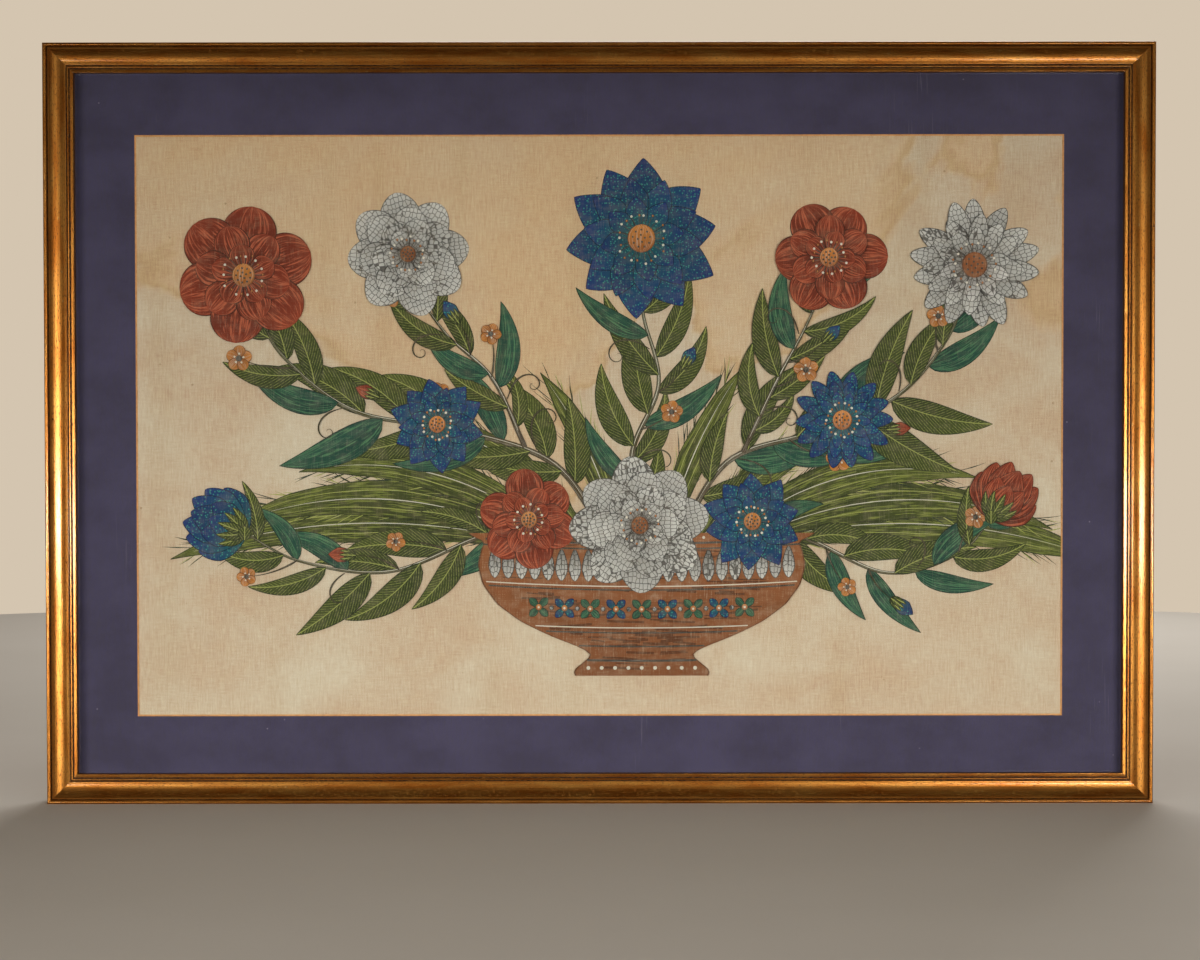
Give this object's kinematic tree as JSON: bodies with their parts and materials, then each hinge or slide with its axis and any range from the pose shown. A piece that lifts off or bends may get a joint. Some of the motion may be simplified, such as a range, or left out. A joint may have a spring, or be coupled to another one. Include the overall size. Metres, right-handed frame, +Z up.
{
  "type": "framed picture",
  "caption": "Wide painted cotton cloth behind a dark window mat, glazed and set in a gilded scoop-moulded wood frame, with strap hangers and felt strips on its back.",
  "frame": {"origin": "on the wall plane, at the middle of the felt strip on the back of the top rail", "axes": "+Z up, +X to the right of someone looking at the picture, +Y into the wall; the picture faces -Y"},
  "size_m": [1.153, 0.0405, 0.791],
  "materials": {
    "gilding": "softwood moulding gilded with bronze-gold leaf over a red-brown ground, aged, semi-gloss, rubbed dark in the grooves; bare wood on the back",
    "glazing": "clear, glossy, lightly scratched sheet",
    "mat": "dark blue-violet mat board with paper tooth and a gold bevel",
    "cloth": "old tan cotton with stains, painted in blue, green, red-brown and ochre with fine pale line work",
    "board": "matt cream mount board",
    "hardboard": "smooth brown hardboard",
    "tape": "brown gummed kraft paper",
    "felt": "dark grey pressed felt",
    "brass": "dulled brass plating"
  },
  "bodies": {
    "root": {"rail_top": "gilding", "rail_right": "gilding", "rail_bottom": "gilding", "rail_left": "gilding", "glazing": "glazing", "window_mat": "mat", "painted_cloth": "cloth", "mount_board": "board", "backing_board": "hardboard", "tape_top": "tape", "tape_right": "tape", "tape_bottom": "tape", "tape_left": "tape", "felt_top": "felt", "felt_bottom": "felt", "hanger_strap_left": "brass", "hanger_ring_left": "brass", "hanger_screw_left_1": "brass", "hanger_screw_left_2": "brass", "hanger_strap_right": "brass", "hanger_ring_right": "brass", "hanger_screw_right_1": "brass", "hanger_screw_right_2": "brass"}
  },
  "joints": []
}
